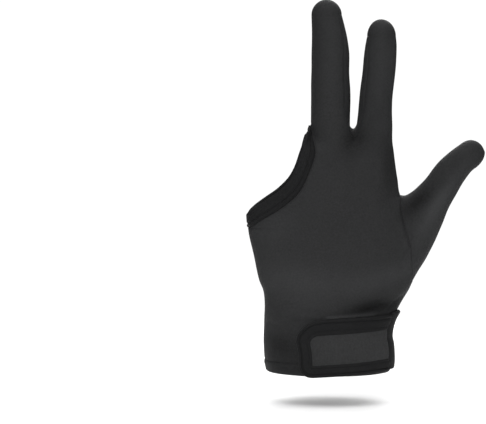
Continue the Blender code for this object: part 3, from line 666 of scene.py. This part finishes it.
def loft(rings, rows):
    """Smooth rows between rings of points: a cubic through the rings along each column."""
    span = np.linalg.norm(np.diff(rings, axis=0), axis=2).mean(axis=1)
    station = np.concatenate([[0.0], np.cumsum(span)])
    slope = np.gradient(rings, station, axis=0)
    slope[0] = (rings[1] - rings[0]) / station[1]
    share = np.linspace(0.0, station[-1], rows)
    cell = np.clip(np.searchsorted(station, share) - 1, 0, len(station) - 2)
    width = (station[cell + 1] - station[cell])[:, None, None]
    part = ((share - station[cell]))[:, None, None] / width
    rest = 1.0 - part
    return (rest * rest * (1.0 + 2.0 * part) * rings[cell]
            + part * part * (3.0 - 2.0 * part) * rings[cell + 1]
            + part * rest * rest * width * slope[cell]
            - part * part * rest * width * slope[cell + 1])


def lay_thumb(quilt):
    """The thumb: a loft from its seam loop out through tilted oval sections to the tip."""
    low, top = THUMB_SEAM[0][0], THUMB_SEAM[-1][0]
    level = heights(low, top)
    edge = np.full_like(level, 2.0)
    back = trunk_sheet(level, edge, -1.0)[::-1]
    palm = trunk_sheet(level, edge, 1.0)
    loop = np.concatenate([back, palm[1:]])
    half = len(level) - 1
    root = (loop[0] + loop[half]) / 2.0
    angle = math.radians(THUMB_ANGLE)
    along_axis = np.array([math.cos(angle), 0.0, math.sin(angle)])
    across_axis = np.array([-math.sin(angle), 0.0, math.cos(angle)])
    table = np.array(THUMB)
    upper = (root + table[:, 0:1] * THUMB_LENGTH * along_axis + table[:, 1:2] * THUMB_WIDTH * across_axis)
    lower = (root + table[:, 2:3] * THUMB_LENGTH * along_axis + table[:, 3:4] * THUMB_WIDTH * across_axis)
    turn = 2.0 * math.pi * np.arange(len(loop)) / (len(loop) - 1)
    depth = np.where(turn < math.pi, -table[:, 4:5], table[:, 5:6]) * THUMB_DEPTH
    reach = oval(np.cos(turn), THUMB_SQUARENESS) * depth + table[:, 6:7] * THUMB_LEAN
    rings = ((upper + lower)[:, None] / 2.0 + (upper - lower)[:, None] / 2.0 * np.cos(turn)[None, :, None]
             + stack(0.0, reach, 0.0))
    tip = np.broadcast_to(rings[-1].mean(axis=0), rings[-1].shape)
    sheet = loft(np.concatenate([loop[None], rings, tip[None]]), 64)
    sheet[0] = loop
    quilt.patch("thumb", sheet)


def opening_loop():
    """Seam points and rim points round the opening, up the back and down the palm."""
    level = heights(OPENING[0][0], 1.0)
    seam, rim = [], []
    for side in (-1.0, 1.0):
        seam.append(trunk_sheet(level, np.zeros_like(level), side))
        rim_height = spline(OPENING, 2, level)
        rim_edge = spline(OPENING, 3, level) * PALM_WIDTH
        centre, half = trunk_shape(np.minimum(rim_height, 1.0))[:2]
        surface = trunk_point(np.minimum(rim_height, 1.0), (rim_edge - centre) / half, side)
        ends = (level > OPENING[0][0]) & (level < 1.0)
        rim.append(stack(rim_edge, surface[:, 1] * ends, rim_height * FORK_HEIGHT))
    return (np.concatenate([seam[0], seam[1][-2::-1]]), np.concatenate([rim[0], rim[1][-2::-1]]))


def lay_opening_binding(quilt):
    """The band round the opening, from its seam to its free rim, a little fuller in the middle."""
    seam, rim = opening_loop()
    share = np.linspace(0.0, 1.0, 25)[:, None, None]
    sheet = seam + (rim - seam) * share
    shape = ease(share[..., 0] * 5.0) - 0.9 * np.exp(-((share[..., 0] - 0.36) / 0.06) ** 2)
    proud = BINDING_PROUD * shape
    inner = CLOTH + (BINDING_THICKNESS - BINDING_PROUD - CLOTH) * shape
    quilt.patch("binding", sheet, proud, inner)


def soft_spots(table, points, normals):
    """A sum of long soft spots on one side: each a bell curve along and across its slope."""
    total = np.zeros(len(points))
    for side, edge, height, reach, spread, turn, rise in table:
        angle = math.radians(turn)
        right = points[:, 0] - edge * PALM_WIDTH
        up = points[:, 2] - height * FORK_HEIGHT
        along = (right * math.cos(angle) + up * math.sin(angle)) / (reach * PALM_WIDTH)
        across = (up * math.cos(angle) - right * math.sin(angle)) / (spread * PALM_WIDTH)
        facing = np.maximum(normals[:, 1] * side, 0.0)
        total += rise * facing * np.exp(-along * along - across * across)
    return total


def strap_top(right):
    """Height of the strap's upper edge at an X position on the back."""
    free_end = strap_place(np.array([STRAP_LENGTH]), np.array([STRAP_WIDTH]))[0]
    return free_end[2] + (right - free_end[0]) * math.tan(math.radians(STRAP_TILT))


def fold_pushes(quilt):
    """How far the folds push each point, and the lip above the strap."""
    points, normals = quilt.points, quilt.normals
    above = points[:, 2] - strap_top(points[:, 0])
    free_end = strap_place(np.array([STRAP_LENGTH]), np.array([STRAP_WIDTH]))[0]
    beside = ease(1.0 + (points[:, 0] - free_end[0]) / STRAP_TOP_RADIUS)
    under = np.where(points[:, 1] < 0.0, beside * ease(1.0 - above / 0.004), 0.0)
    push = CLOTH * soft_spots(FOLDS, points, normals) * (1.0 - under)
    ends = (ease((points[:, 0] - LIP_START * PALM_WIDTH) / 0.002)
            * ease((LIP_END * PALM_WIDTH - points[:, 0]) / 0.006))
    lip = np.exp(-((above - LIP_ABOVE) / LIP_SPREAD) ** 2)
    return push + np.where(points[:, 1] < 0.0, LIP_RISE * ends * lip, 0.0)


def strap_shade(points):
    """Tone along the strap's upper edge: painted shade in the gap beside it and a painted highlight on the lip.
    """
    above = points[:, 2] - strap_top(points[:, 0])
    ends = (ease((points[:, 0] - LIP_START * PALM_WIDTH) / 0.002)
            * ease((LIP_END * PALM_WIDTH - points[:, 0]) / 0.006))
    line = 0.5 * np.exp(-((above - 1.6 * LIP_ABOVE) / LIP_SPREAD) ** 2) - np.exp(-(above / LIP_SPREAD) ** 2)
    return np.where(points[:, 1] < 0.0, ends * line, 0.0)


def slack(quilt):
    """A soft unevenness of the cloth: a few slow waves in every direction."""
    push = np.zeros(len(quilt.points))
    rng = np.random.default_rng(11)
    for _ in range(24):
        direction = unit(rng.normal(size=3))
        length = rng.uniform(0.010, 0.030)
        push += np.sin(quilt.points @ direction * (2.0 * math.pi / length) + rng.uniform(0.0, 6.3)) * length
    return push * 0.0022


def closing(key, points):
    """A share that falls to nothing at the two ends of the thumb's seam."""
    if key != "thumb":
        return 1.0
    low, top = THUMB_SEAM[0][0] * FORK_HEIGHT, THUMB_SEAM[-1][0] * FORK_HEIGHT
    return ease((points[:, 2] - low) / 0.006) * ease((top - points[:, 2]) / 0.005)


def seam_pushes(quilt, curves):
    """Grooves along the seams, with small puckers that fade away from them."""
    push = np.zeros(len(quilt.points))
    for key, depth, width, pucker, pitch, fade in (
            ("thumb", 0.00050, 0.0011, 0.00012, 0.0042, 0.0050),
            ("opening", 0.00040, 0.0009, 0.00015, 0.0036, 0.0040),
            ("fourchette", 0.00045, 0.0010, 0.00007, 0.0040, 0.0030),
            ("hem", 0.00025, 0.0008, 0.00008, 0.0050, 0.0040)):
        curve = curves[key]
        reach, which = nearest(quilt.points, curve)
        run = np.concatenate([[0.0], np.cumsum(np.linalg.norm(np.diff(curve, axis=0), axis=1))])[which]
        wave = np.sin(run * (2.0 * math.pi / pitch) + 1.7 * np.sin(run * 170.0))
        near = np.exp(-(reach / width) ** 2)
        push += (pucker * wave * np.exp(-reach / fade) * (1.0 - near) - depth * near) * closing(key, quilt.points)
    return push


def cuff_point(arc, height, lift):
    """A point above the cuff, an arc length from the thumb edge towards the back."""
    arc, height = np.broadcast_arrays(np.asarray(arc, dtype=float), np.asarray(height, dtype=float))
    turns = np.linspace(-math.pi / 2.0, math.pi, 181)
    level = np.maximum(height, 0.0)[..., None] / FORK_HEIGHT
    ring = trunk_point(level, np.cos(turns), np.where(turns < 0.0, 1.0, -1.0))[..., :2]
    lengths = np.concatenate([np.zeros(ring.shape[:-2] + (1,)),
                              np.linalg.norm(np.diff(ring, axis=-2), axis=-1).cumsum(axis=-1)], axis=-1)
    lengths = lengths - lengths[..., 60:61]
    cell = np.clip((lengths < arc[..., None]).sum(axis=-1) - 1, 0, len(turns) - 2)
    here = np.take_along_axis(ring, cell[..., None, None], axis=-2)[..., 0, :]
    after = np.take_along_axis(ring, cell[..., None, None] + 1, axis=-2)[..., 0, :]
    start = np.take_along_axis(lengths, cell[..., None], axis=-1)[..., 0]
    run = after - here
    size = np.linalg.norm(run, axis=-1)
    spot = here + run * ((arc - start) / size)[..., None]
    return stack(spot[..., 0] - run[..., 1] / size * lift, spot[..., 1] + run[..., 0] / size * lift, height)


def strap_place(along, up):
    """A point of the strap's flat pattern, wrapped round the cuff."""
    slope = math.tan(math.radians(STRAP_TILT))
    height = up - STRAP_OVERHANG + (STRAP_LENGTH - along) * slope
    return cuff_point(ROOT_BAND_FRONT + along, height, STRAP_LIFT)


def strap_half(inset, at_top):
    """Half of the strap's outline, from its root to the middle of its round end."""
    radius = max((STRAP_TOP_RADIUS if at_top else STRAP_LOW_RADIUS) - inset, 0.0006)
    end = STRAP_LENGTH - inset
    level = STRAP_WIDTH - STRAP_TOP_SHARE * inset if at_top else STRAP_LOW_SHARE * inset
    inward = -1.0 if at_top else 1.0
    straight = np.linspace(0.0, end - radius, 40)
    turn = np.linspace(0.0, math.pi / 2.0, 13)[1:]
    middle = (STRAP_WIDTH - STRAP_TOP_RADIUS + STRAP_LOW_RADIUS) / 2.0
    last = level + inward * radius
    along = np.concatenate([straight, end - radius + radius * np.sin(turn), np.full(8, end)])
    up = np.concatenate([np.full(40, level), level + inward * radius * (1.0 - np.cos(turn)),
                         last + (middle - last) * np.linspace(0.0, 1.0, 9)[1:]])
    return np.stack([along, up], axis=-1)


def strap_outline(inset):
    """The strap's outline at an inset from its edge: along its foot, round its end and back."""
    return np.concatenate([strap_half(inset, False), strap_half(inset, True)[-2::-1]])


def make_strap(finish):
    """The strap: a felt-like face, a rolled binding round it and the upright band at its root."""
    share = np.linspace(0.0, 1.0, 15)
    paths = np.stack([strap_outline(STRAP_EDGE_WIDTH * part) for part in share])
    band = strap_place(paths[..., 0], paths[..., 1])
    lips = 1.0 - 0.35 * np.exp(-((share - 0.16) / 0.07) ** 2) - 0.25 * np.exp(-((share - 0.80) / 0.06) ** 2)
    proud = STRAP_EDGE_THICKNESS * lips[:, None] * (1.0 - 0.30 * share[:, None])
    edge = Quilt()
    edge.patch("edge", band[:, ::-1], proud, 0.0)
    edge.weld()
    binding = piece_wall(edge, "edge", "strap_edge_tape", finish["tape"], "binding_tape", 3)
    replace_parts(binding, "strap_binding")
    foot, head = (strap_half(STRAP_EDGE_WIDTH + 0.0001, at_top)[:-8] for at_top in (False, True))
    part = np.linspace(0.0, 1.0, 24)[:, None, None]
    flat = foot + (head - foot) * part
    rim = np.minimum(np.minimum(part[..., 0], 1.0 - part[..., 0]) * 2.0 * 0.01,
                     (flat[0, -1, 0] - flat[..., 0]))
    puff = STRAP_THICKNESS * (0.75 + 0.35 * ease(rim / 0.004))
    face = Quilt()
    face.patch("face", strap_place(flat[..., 0], flat[..., 1])[:, ::-1], puff[:, ::-1], 0.0)
    face.weld()
    felt = piece_wall(face, "face", "strap_loop_face", finish["felt"], "loop_felt", 2)
    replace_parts(felt, "wrist_strap")
    rows = steps(ROOT_BAND_START, ROOT_BAND_START + ROOT_BAND_HEIGHT, FINE_STEP)[:, None]
    arcs = np.linspace(ROOT_BAND_FRONT - 0.0002, -ROOT_BAND_BACK, 15)[None, :]
    across = np.linspace(0.0, 1.0, 15)[None, :]
    crown = ROOT_BAND_THICKNESS * (0.55 + 0.5 * np.sin(math.pi * across) ** 0.6)
    root = Quilt()
    root.patch("root", cuff_point(arcs, rows, STRAP_LIFT), crown, 0.0)
    root.weld()
    upright = piece_wall(root, "root", "strap_root_tape", finish["tape"], "binding_tape", 3)
    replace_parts(upright, "strap_root_band")


def make_cloth(finish):
    """The quilt of the glove and its five cloth pieces."""
    quilt = Quilt()
    lay_trunk(quilt)
    across = np.linspace(0.0, 1.0, 17)
    lay_finger(quilt, MIDDLE_FINGER, MIDDLE_COLUMNS, across)
    lay_finger(quilt, INDEX_FINGER, INDEX_COLUMNS, across)
    lay_thumb(quilt)
    lay_opening_binding(quilt)
    quilt.weld()
    curves = seam_curves()
    quilt.push(fold_pushes(quilt) + slack(quilt))
    quilt.push(seam_pushes(quilt, curves))
    # Stretch tones with painted highlights and painted shade, plus the painted shade and highlight along the
    # strap's edge.
    quilt.stretch_and_painted_light = soft_spots(STRETCH_AND_PAINTED_LIGHT, quilt.points, quilt.normals) + strap_shade(quilt.points)
    for piece, name, material, slot, node in (
            ("body", "palm_and_back_knit", finish["knit"], "black_knit", "glove_body"),
            ("thumb", "thumb_knit", finish["knit"], "black_knit", "thumb"),
            ("fourchette", "fourchette_knit", finish["knit"], "black_knit", "finger_fourchette"),
            ("binding", "opening_binding_tape", finish["tape"], "binding_tape", "finger_opening_binding"),
            ("hem", "wrist_hem_knit", finish["knit"], "black_knit", "wrist_hem")):
        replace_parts(piece_wall(quilt, piece, name, material, slot), node)


def knit_material(name, colour, sheen, roughness, rib, bump):
    """Fine stretch knit: wales and courses as two crossed waves, a soft mottle, a sheen, and a base colour made
    paler and darker by the stretch tones and the painted highlights and painted shade of the "stretch" attribute.
    """
    material = bpy.data.materials.new(name)
    material.use_nodes = True
    nodes, links = material.node_tree.nodes, material.node_tree.links
    shader = nodes["Principled BSDF"]
    shader.inputs["Roughness"].default_value = roughness
    shader.inputs["Sheen Weight"].default_value = sheen
    shader.inputs["Sheen Roughness"].default_value = 0.45
    shader.inputs["Specular IOR Level"].default_value = 0.10
    place = nodes.new("ShaderNodeUVMap")
    place.uv_map = "cloth"
    solid = nodes.new("ShaderNodeTexCoord")
    waves = []
    for direction, pitch in (("X", rib), ("Y", rib * 0.8)):
        wave = nodes.new("ShaderNodeTexWave")
        wave.bands_direction = direction
        wave.inputs["Scale"].default_value = 1.0 / pitch / math.pi
        wave.inputs["Distortion"].default_value = 0.6
        wave.inputs["Detail"].default_value = 1.0
        links.new(place.outputs["UV"], wave.inputs["Vector"])
        waves.append(wave)
    weave = nodes.new("ShaderNodeMath")
    weave.operation = "MULTIPLY"
    links.new(waves[0].outputs["Fac"], weave.inputs[0])
    links.new(waves[1].outputs["Fac"], weave.inputs[1])
    mottle = nodes.new("ShaderNodeTexNoise")
    mottle.inputs["Scale"].default_value = 900.0
    mottle.inputs["Detail"].default_value = 3.0
    mottle.inputs["Roughness"].default_value = 0.65
    links.new(solid.outputs["Object"], mottle.inputs["Vector"])
    cloud = nodes.new("ShaderNodeTexNoise")
    cloud.inputs["Scale"].default_value = 45.0
    cloud.inputs["Detail"].default_value = 3.0
    links.new(solid.outputs["Object"], cloud.inputs["Vector"])
    height = nodes.new("ShaderNodeMath")
    height.operation = "MULTIPLY_ADD"
    height.inputs[1].default_value = 0.6
    links.new(mottle.outputs["Fac"], height.inputs[0])
    links.new(weave.outputs["Value"], height.inputs[2])
    relief = nodes.new("ShaderNodeBump")
    relief.inputs["Strength"].default_value = bump
    relief.inputs["Distance"].default_value = 0.0003
    links.new(height.outputs["Value"], relief.inputs["Height"])
    links.new(relief.outputs["Normal"], shader.inputs["Normal"])
    # Mottle plus the "stretch" attribute, which holds stretch tones and painted highlights and painted shade.
    speckle_and_painted_light = nodes.new("ShaderNodeMath")
    speckle_and_painted_light.operation = "MULTIPLY_ADD"
    speckle_and_painted_light.inputs[1].default_value = 1.20
    links.new(mottle.outputs["Fac"], speckle_and_painted_light.inputs[0])
    stretch = nodes.new("ShaderNodeAttribute")
    stretch.attribute_name = "stretch"
    links.new(stretch.outputs["Fac"], speckle_and_painted_light.inputs[2])
    tone = nodes.new("ShaderNodeMath")
    tone.operation = "MULTIPLY_ADD"
    tone.inputs[1].default_value = 0.35
    links.new(cloud.outputs["Fac"], tone.inputs[0])
    links.new(speckle_and_painted_light.outputs["Value"], tone.inputs[2])
    spread = nodes.new("ShaderNodeMapRange")
    spread.inputs["From Min"].default_value = -0.33
    spread.inputs["From Max"].default_value = 1.87
    links.new(tone.outputs["Value"], spread.inputs["Value"])
    # Base colour from 0.12 to 2.10 times the cloth's own colour, wide enough to carry the painted highlights and
    # painted shade.
    ramp = nodes.new("ShaderNodeValToRGB")
    ramp.color_ramp.elements[0].color = tuple(0.12 * part for part in colour) + (1.0,)
    ramp.color_ramp.elements[1].color = tuple(2.10 * part for part in colour) + (1.0,)
    links.new(spread.outputs["Result"], ramp.inputs["Fac"])
    links.new(ramp.outputs["Color"], shader.inputs["Base Color"])
    return material


def make_finishes():
    """The glove's three cloths."""
    return {
        "knit": knit_material("black_stretch_knit", (0.0142, 0.0144, 0.0149), 0.02, 0.62, 0.00055, 0.45),
        "tape": knit_material("black_binding_tape", (0.0056, 0.0057, 0.0060), 0.02, 0.70, 0.00045, 0.45),
        "felt": knit_material("grey_loop_felt", (0.0215, 0.0217, 0.0222), 0.04, 0.90, 0.00080, 0.90),
    }


# Photograph's framing: millimetres a pixel at the glove, the frame and the glove's foot in it
PIXEL = 0.0006085
FRAME_WIDTH, FRAME_HEIGHT = 486, 424
FOOT_COLUMN, FOOT_ROW = 329.0, 369.0
CAMERA_DISTANCE = 1.6
CAMERA_ELEVATION = 5.0
SENSOR = 36.0
FLOOR_DROP = 0.0207
FLOOR_RADIUS = 0.42


def make_camera():
    """A long lens in front of the back of the hand, a little above level."""
    tilt = math.radians(CAMERA_ELEVATION)
    aim = Vector(((FRAME_WIDTH / 2.0 - FOOT_COLUMN) * PIXEL, 0.0,
                  (FOOT_ROW - FRAME_HEIGHT / 2.0) * PIXEL / math.cos(tilt)))
    camera = bpy.data.objects.new("camera", bpy.data.cameras.new("camera"))
    camera.data.sensor_width = SENSOR
    camera.data.lens = SENSOR * CAMERA_DISTANCE / (FRAME_WIDTH * PIXEL)
    camera.location = aim + Vector((0.0, -math.cos(tilt), math.sin(tilt))) * CAMERA_DISTANCE
    camera.rotation_euler = (math.pi / 2.0 - tilt, 0.0, 0.0)
    bpy.context.scene.collection.objects.link(camera)
    bpy.context.scene.camera = camera


def make_floor():
    """A pale floor a little below the glove."""
    mesh = bpy.data.meshes.new("floor")
    turn = np.linspace(0.0, 2.0 * math.pi, 97)[:-1]
    rim = stack(FLOOR_RADIUS * np.cos(turn), FLOOR_RADIUS * np.sin(turn), -FLOOR_DROP)
    mesh.from_pydata(rim.tolist(), [], [list(range(len(turn)))])
    material = bpy.data.materials.new("pale_floor")
    material.use_nodes = True
    shader = material.node_tree.nodes["Principled BSDF"]
    shader.inputs["Base Color"].default_value = (0.95, 0.95, 0.95, 1.0)
    shader.inputs["Roughness"].default_value = 0.9
    shader.inputs["Specular IOR Level"].default_value = 0.1
    mesh.materials.append(material)
    floor = bpy.data.objects.new("floor", mesh)
    bpy.context.scene.collection.objects.link(floor)


def make_light(name, place, aim, size, power):
    """One soft square lamp turned towards a point."""
    lamp = bpy.data.lights.new(name, "AREA")
    lamp.shape = "SQUARE"
    lamp.size = size
    lamp.energy = power
    light = bpy.data.objects.new(name, lamp)
    light.location = place
    light.rotation_euler = (Vector(aim) - Vector(place)).to_track_quat("-Z", "Y").to_euler()
    bpy.context.scene.collection.objects.link(light)


def make_studio():
    """White surroundings that only the camera sees, and soft lamps above, in front and behind."""
    world = bpy.data.worlds.new("studio")
    world.use_nodes = True
    world.node_tree.nodes["Background"].inputs["Color"].default_value = (1.0, 1.0, 1.0, 1.0)
    world.node_tree.nodes["Background"].inputs["Strength"].default_value = 1.05
    world.cycles_visibility.diffuse = False
    world.cycles_visibility.glossy = False
    bpy.context.scene.world = world
    middle = (0.02, 0.0, 0.11)
    make_light("overhead", (0.0, -0.05, 1.30), middle, 2.2, 36.0)
    make_light("front", (-0.35, -1.25, 0.45), middle, 0.8, 14.0)
    make_light("right", (1.20, -0.60, 0.00), middle, 0.6, 3.5)
    make_light("behind", (0.20, 1.10, 0.85), middle, 0.8, 9.0)
    bpy.context.scene.view_settings.view_transform = "Standard"


make_camera()
make_floor()
make_studio()
finishes = make_finishes()
make_cloth(finishes)
make_strap(finishes)
